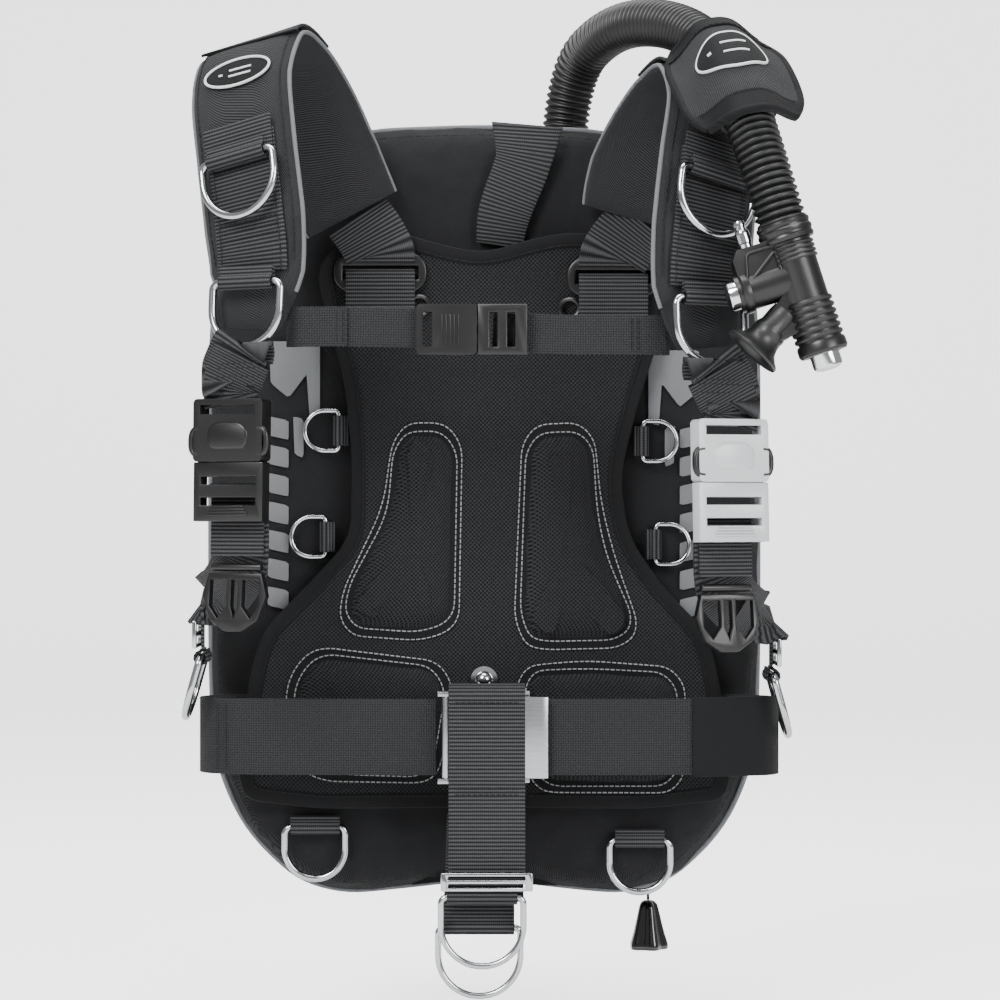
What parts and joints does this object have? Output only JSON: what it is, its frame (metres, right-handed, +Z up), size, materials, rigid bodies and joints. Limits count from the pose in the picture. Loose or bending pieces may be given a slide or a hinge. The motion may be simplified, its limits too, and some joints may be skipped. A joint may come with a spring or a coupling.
{
  "type": "buoyancy compensator vest",
  "caption": "Harness style scuba buoyancy vest: backplate with soft back pad, rear air cell, padded shoulder straps, buckles, rings, inflator hose and cylinder bands.",
  "frame": {"origin": "on the axis of the carried air cylinder, level with the middle of the lower cylinder band", "axes": "+Z up along the cylinder, -Y towards the wearer, +X to the right of someone who faces the wearer's side of the vest"},
  "size_m": [0.4254, 0.3906, 0.6622],
  "materials": {
    "plate_aluminium": "anodised",
    "spacer_mesh": "knitted mesh",
    "wing_nylon": "woven",
    "webbing": "ribbed weave",
    "strap_nylon": "woven",
    "stainless": "polished",
    "brushed_stainless": "satin",
    "black_acetal": "satin moulded",
    "silver_buckle": "moulded",
    "chrome_brass": "bright",
    "hose_rubber": "ribbed",
    "soft_rubber": "matte",
    "pull_cord": "braided",
    "gloss_knob": "gloss"
  },
  "bodies": {
    "harness": {"cylinder_bands": "webbing", "backplate": "plate_aluminium", "wing": "wing_nylon", "back_pad": "spacer_mesh", "book_screw": "stainless", "top_handle": "webbing", "left_shoulder_pad": "strap_nylon", "right_shoulder_pad": "strap_nylon", "shoulder_webbings": "webbing", "junction_rings": "stainless", "pad_slot_frames": "black_acetal", "sternum_buckle_socket": "black_acetal", "sternum_straps": "webbing", "left_buckle_socket": "black_acetal", "right_buckle_socket": "silver_buckle", "side_webbings": "webbing", "waist_sliders": "stainless", "left_waist_belt": "webbing", "right_waist_belt": "webbing", "waist_buckle_frame": "brushed_stainless", "crotch_strap": "webbing", "lower_ring_loops": "webbing", "side_ring_loops": "webbing", "upper_hose": "hose_rubber", "hose_elbow": "black_acetal", "hose_sleeve": "strap_nylon", "dump_valve": "black_acetal", "cam_frames": "brushed_stainless", "cam_pins": "stainless"},
    "left_chest_ring": {"left_chest_ring": "stainless"},
    "right_chest_ring": {"right_chest_ring": "stainless"},
    "left_waist_ring": {"left_waist_ring": "stainless"},
    "right_waist_ring": {"right_waist_ring": "stainless"},
    "sternum_clip": {"sternum_buckle_clip": "black_acetal"},
    "left_clip": {"left_buckle_clip": "black_acetal"},
    "right_clip": {"right_buckle_clip": "silver_buckle"},
    "waist_flap": {"waist_buckle_flap": "brushed_stainless"},
    "crotch_slider": {"crotch_slider": "stainless"},
    "crotch_front_ring": {"crotch_front_ring": "stainless"},
    "crotch_rear_ring": {"crotch_rear_ring": "stainless"},
    "left_lower_ring": {"left_lower_ring": "stainless"},
    "right_lower_ring": {"right_lower_ring": "stainless"},
    "centre_lower_ring": {"centre_lower_ring": "stainless"},
    "left_upper_side_ring": {"left_upper_side_ring": "stainless"},
    "left_lower_side_ring": {"left_lower_side_ring": "stainless"},
    "right_upper_side_ring": {"right_upper_side_ring": "stainless"},
    "right_lower_side_ring": {"right_lower_side_ring": "stainless"},
    "left_ring_puller": {"left_ring_puller": "black_acetal"},
    "right_ring_puller": {"right_ring_puller": "black_acetal"},
    "inflator": {"inflator_body": "black_acetal", "inlet_nipple": "chrome_brass", "mouthpiece": "soft_rubber", "lower_hose": "hose_rubber"},
    "inflate_button": {"inflate_button": "chrome_brass"},
    "vent_button": {"vent_button": "chrome_brass"},
    "dump_pull": {"dump_cord": "pull_cord", "dump_knob": "gloss_knob"},
    "upper_cam_lever": {"upper_cam_lever": "brushed_stainless"},
    "lower_cam_lever": {"lower_cam_lever": "brushed_stainless"}
  },
  "joints": [
    {"name": "left_chest_ring_swing", "type": "hinge", "parent": "harness", "child": "left_chest_ring", "pos_m": [-0.15664, -0.21833, 0.30969], "axis": [-0.8754, 0.436, -0.2087], "range_deg": [0, 140]},
    {"name": "right_chest_ring_swing", "type": "hinge", "parent": "harness", "child": "right_chest_ring", "pos_m": [0.14945, -0.2185, 0.29791], "axis": [-0.8723, -0.4278, 0.237], "range_deg": [0, 10]},
    {"name": "left_waist_ring_swing", "type": "hinge", "parent": "harness", "child": "left_waist_ring", "pos_m": [-0.186, -0.128, -0.012], "axis": [0, 1, 0], "range_deg": [0, 90]},
    {"name": "right_waist_ring_swing", "type": "hinge", "parent": "harness", "child": "right_waist_ring", "pos_m": [0.19, -0.128, -0.024], "axis": [0, -1, 0], "range_deg": [0, 90]},
    {"name": "sternum_clip_release", "type": "slide", "parent": "harness", "child": "sternum_clip", "axis": [1, 0, 0], "range_m": [0, 0.018]},
    {"name": "left_clip_release", "type": "slide", "parent": "harness", "child": "left_clip", "axis": [-0.0095, -0.0203, -0.9998], "range_m": [0, 0.024]},
    {"name": "right_clip_release", "type": "slide", "parent": "harness", "child": "right_clip", "axis": [0.0166, -0.0356, -0.9992], "range_m": [0, 0.024]},
    {"name": "waist_flap_lift", "type": "hinge", "parent": "harness", "child": "waist_flap", "pos_m": [-0.024, -0.156, -0.0635], "axis": [0, 0, -1], "range_deg": [0, 5]},
    {"name": "crotch_slider_travel", "type": "slide", "parent": "harness", "child": "crotch_slider", "axis": [0, 0, 1], "range_m": [0, 0.035]},
    {"name": "crotch_front_ring_swing", "type": "hinge", "parent": "harness", "child": "crotch_front_ring", "pos_m": [-0.001, -0.1643, -0.167], "axis": [-1, 0, 0], "range_deg": [0, 100]},
    {"name": "crotch_rear_ring_swing", "type": "hinge", "parent": "harness", "child": "crotch_rear_ring", "pos_m": [-0.003, -0.1528, -0.188], "axis": [1, 0, 0], "range_deg": [0, 90]},
    {"name": "left_lower_ring_swing", "type": "hinge", "parent": "harness", "child": "left_lower_ring", "pos_m": [-0.113, -0.1044, -0.127], "axis": [-1, 0, 0], "range_deg": [0, 110]},
    {"name": "right_lower_ring_swing", "type": "hinge", "parent": "harness", "child": "right_lower_ring", "pos_m": [0.104, -0.1044, -0.136], "axis": [-1, 0, 0], "range_deg": [0, 110]},
    {"name": "centre_lower_ring_swing", "type": "hinge", "parent": "harness", "child": "centre_lower_ring", "pos_m": [-0.002, -0.1044, -0.126], "axis": [-1, 0, 0], "range_deg": [0, 30]},
    {"name": "left_upper_side_ring_swing", "type": "hinge", "parent": "harness", "child": "left_upper_side_ring", "pos_m": [-0.097, -0.1042, 0.138], "axis": [0, 0, 1], "range_deg": [0, 90]},
    {"name": "left_lower_side_ring_swing", "type": "hinge", "parent": "harness", "child": "left_lower_side_ring", "pos_m": [-0.106, -0.1042, 0.067], "axis": [0, 0, 1], "range_deg": [0, 90]},
    {"name": "right_upper_side_ring_swing", "type": "hinge", "parent": "harness", "child": "right_upper_side_ring", "pos_m": [0.106, -0.1042, 0.131], "axis": [0, 0, -1], "range_deg": [0, 90]},
    {"name": "right_lower_side_ring_swing", "type": "hinge", "parent": "harness", "child": "right_lower_side_ring", "pos_m": [0.1145, -0.1042, 0.062], "axis": [0, 0, -1], "range_deg": [0, 90]},
    {"name": "left_ring_puller_swing", "type": "hinge", "parent": "harness", "child": "left_ring_puller", "pos_m": [-0.15704, -0.20966, 0.04883], "axis": [-0.9062, 0.4229, 0], "range_deg": [0, 70]},
    {"name": "right_ring_puller_swing", "type": "hinge", "parent": "harness", "child": "right_ring_puller", "pos_m": [0.15452, -0.21069, 0.03572], "axis": [-0.9062, -0.4229, 0], "range_deg": [0, 70]},
    {"name": "inflator_swing", "type": "hinge", "parent": "harness", "child": "inflator", "pos_m": [0.1683, -0.239, 0.32795], "axis": [0, 1, 0], "range_deg": [-12, 12], "stiffness_Nm_per_rad": 3, "springref_deg": -1.15},
    {"name": "inflate_press", "type": "slide", "parent": "inflator", "child": "inflate_button", "axis": [0.9524, 0.0501, 0.3008], "range_m": [0, 0.004], "stiffness_N_per_m": 900},
    {"name": "vent_press", "type": "slide", "parent": "inflator", "child": "vent_button", "axis": [-0.3031, 0.05, 0.9516], "range_m": [0, 0.004], "stiffness_N_per_m": 900},
    {"name": "dump_pull_travel", "type": "slide", "parent": "harness", "child": "dump_pull", "axis": [0, 0, -1], "range_m": [0, 0.012], "stiffness_N_per_m": 350, "springref_m": -0.0006},
    {"name": "upper_cam_lever_open", "type": "hinge", "parent": "harness", "child": "upper_cam_lever", "pos_m": [-0.012, 0.105, 0.17], "axis": [0, 0, 1], "range_deg": [0, 110]},
    {"name": "lower_cam_lever_open", "type": "hinge", "parent": "harness", "child": "lower_cam_lever", "pos_m": [-0.012, 0.105, 0], "axis": [0, 0, 1], "range_deg": [0, 110]}
  ]
}
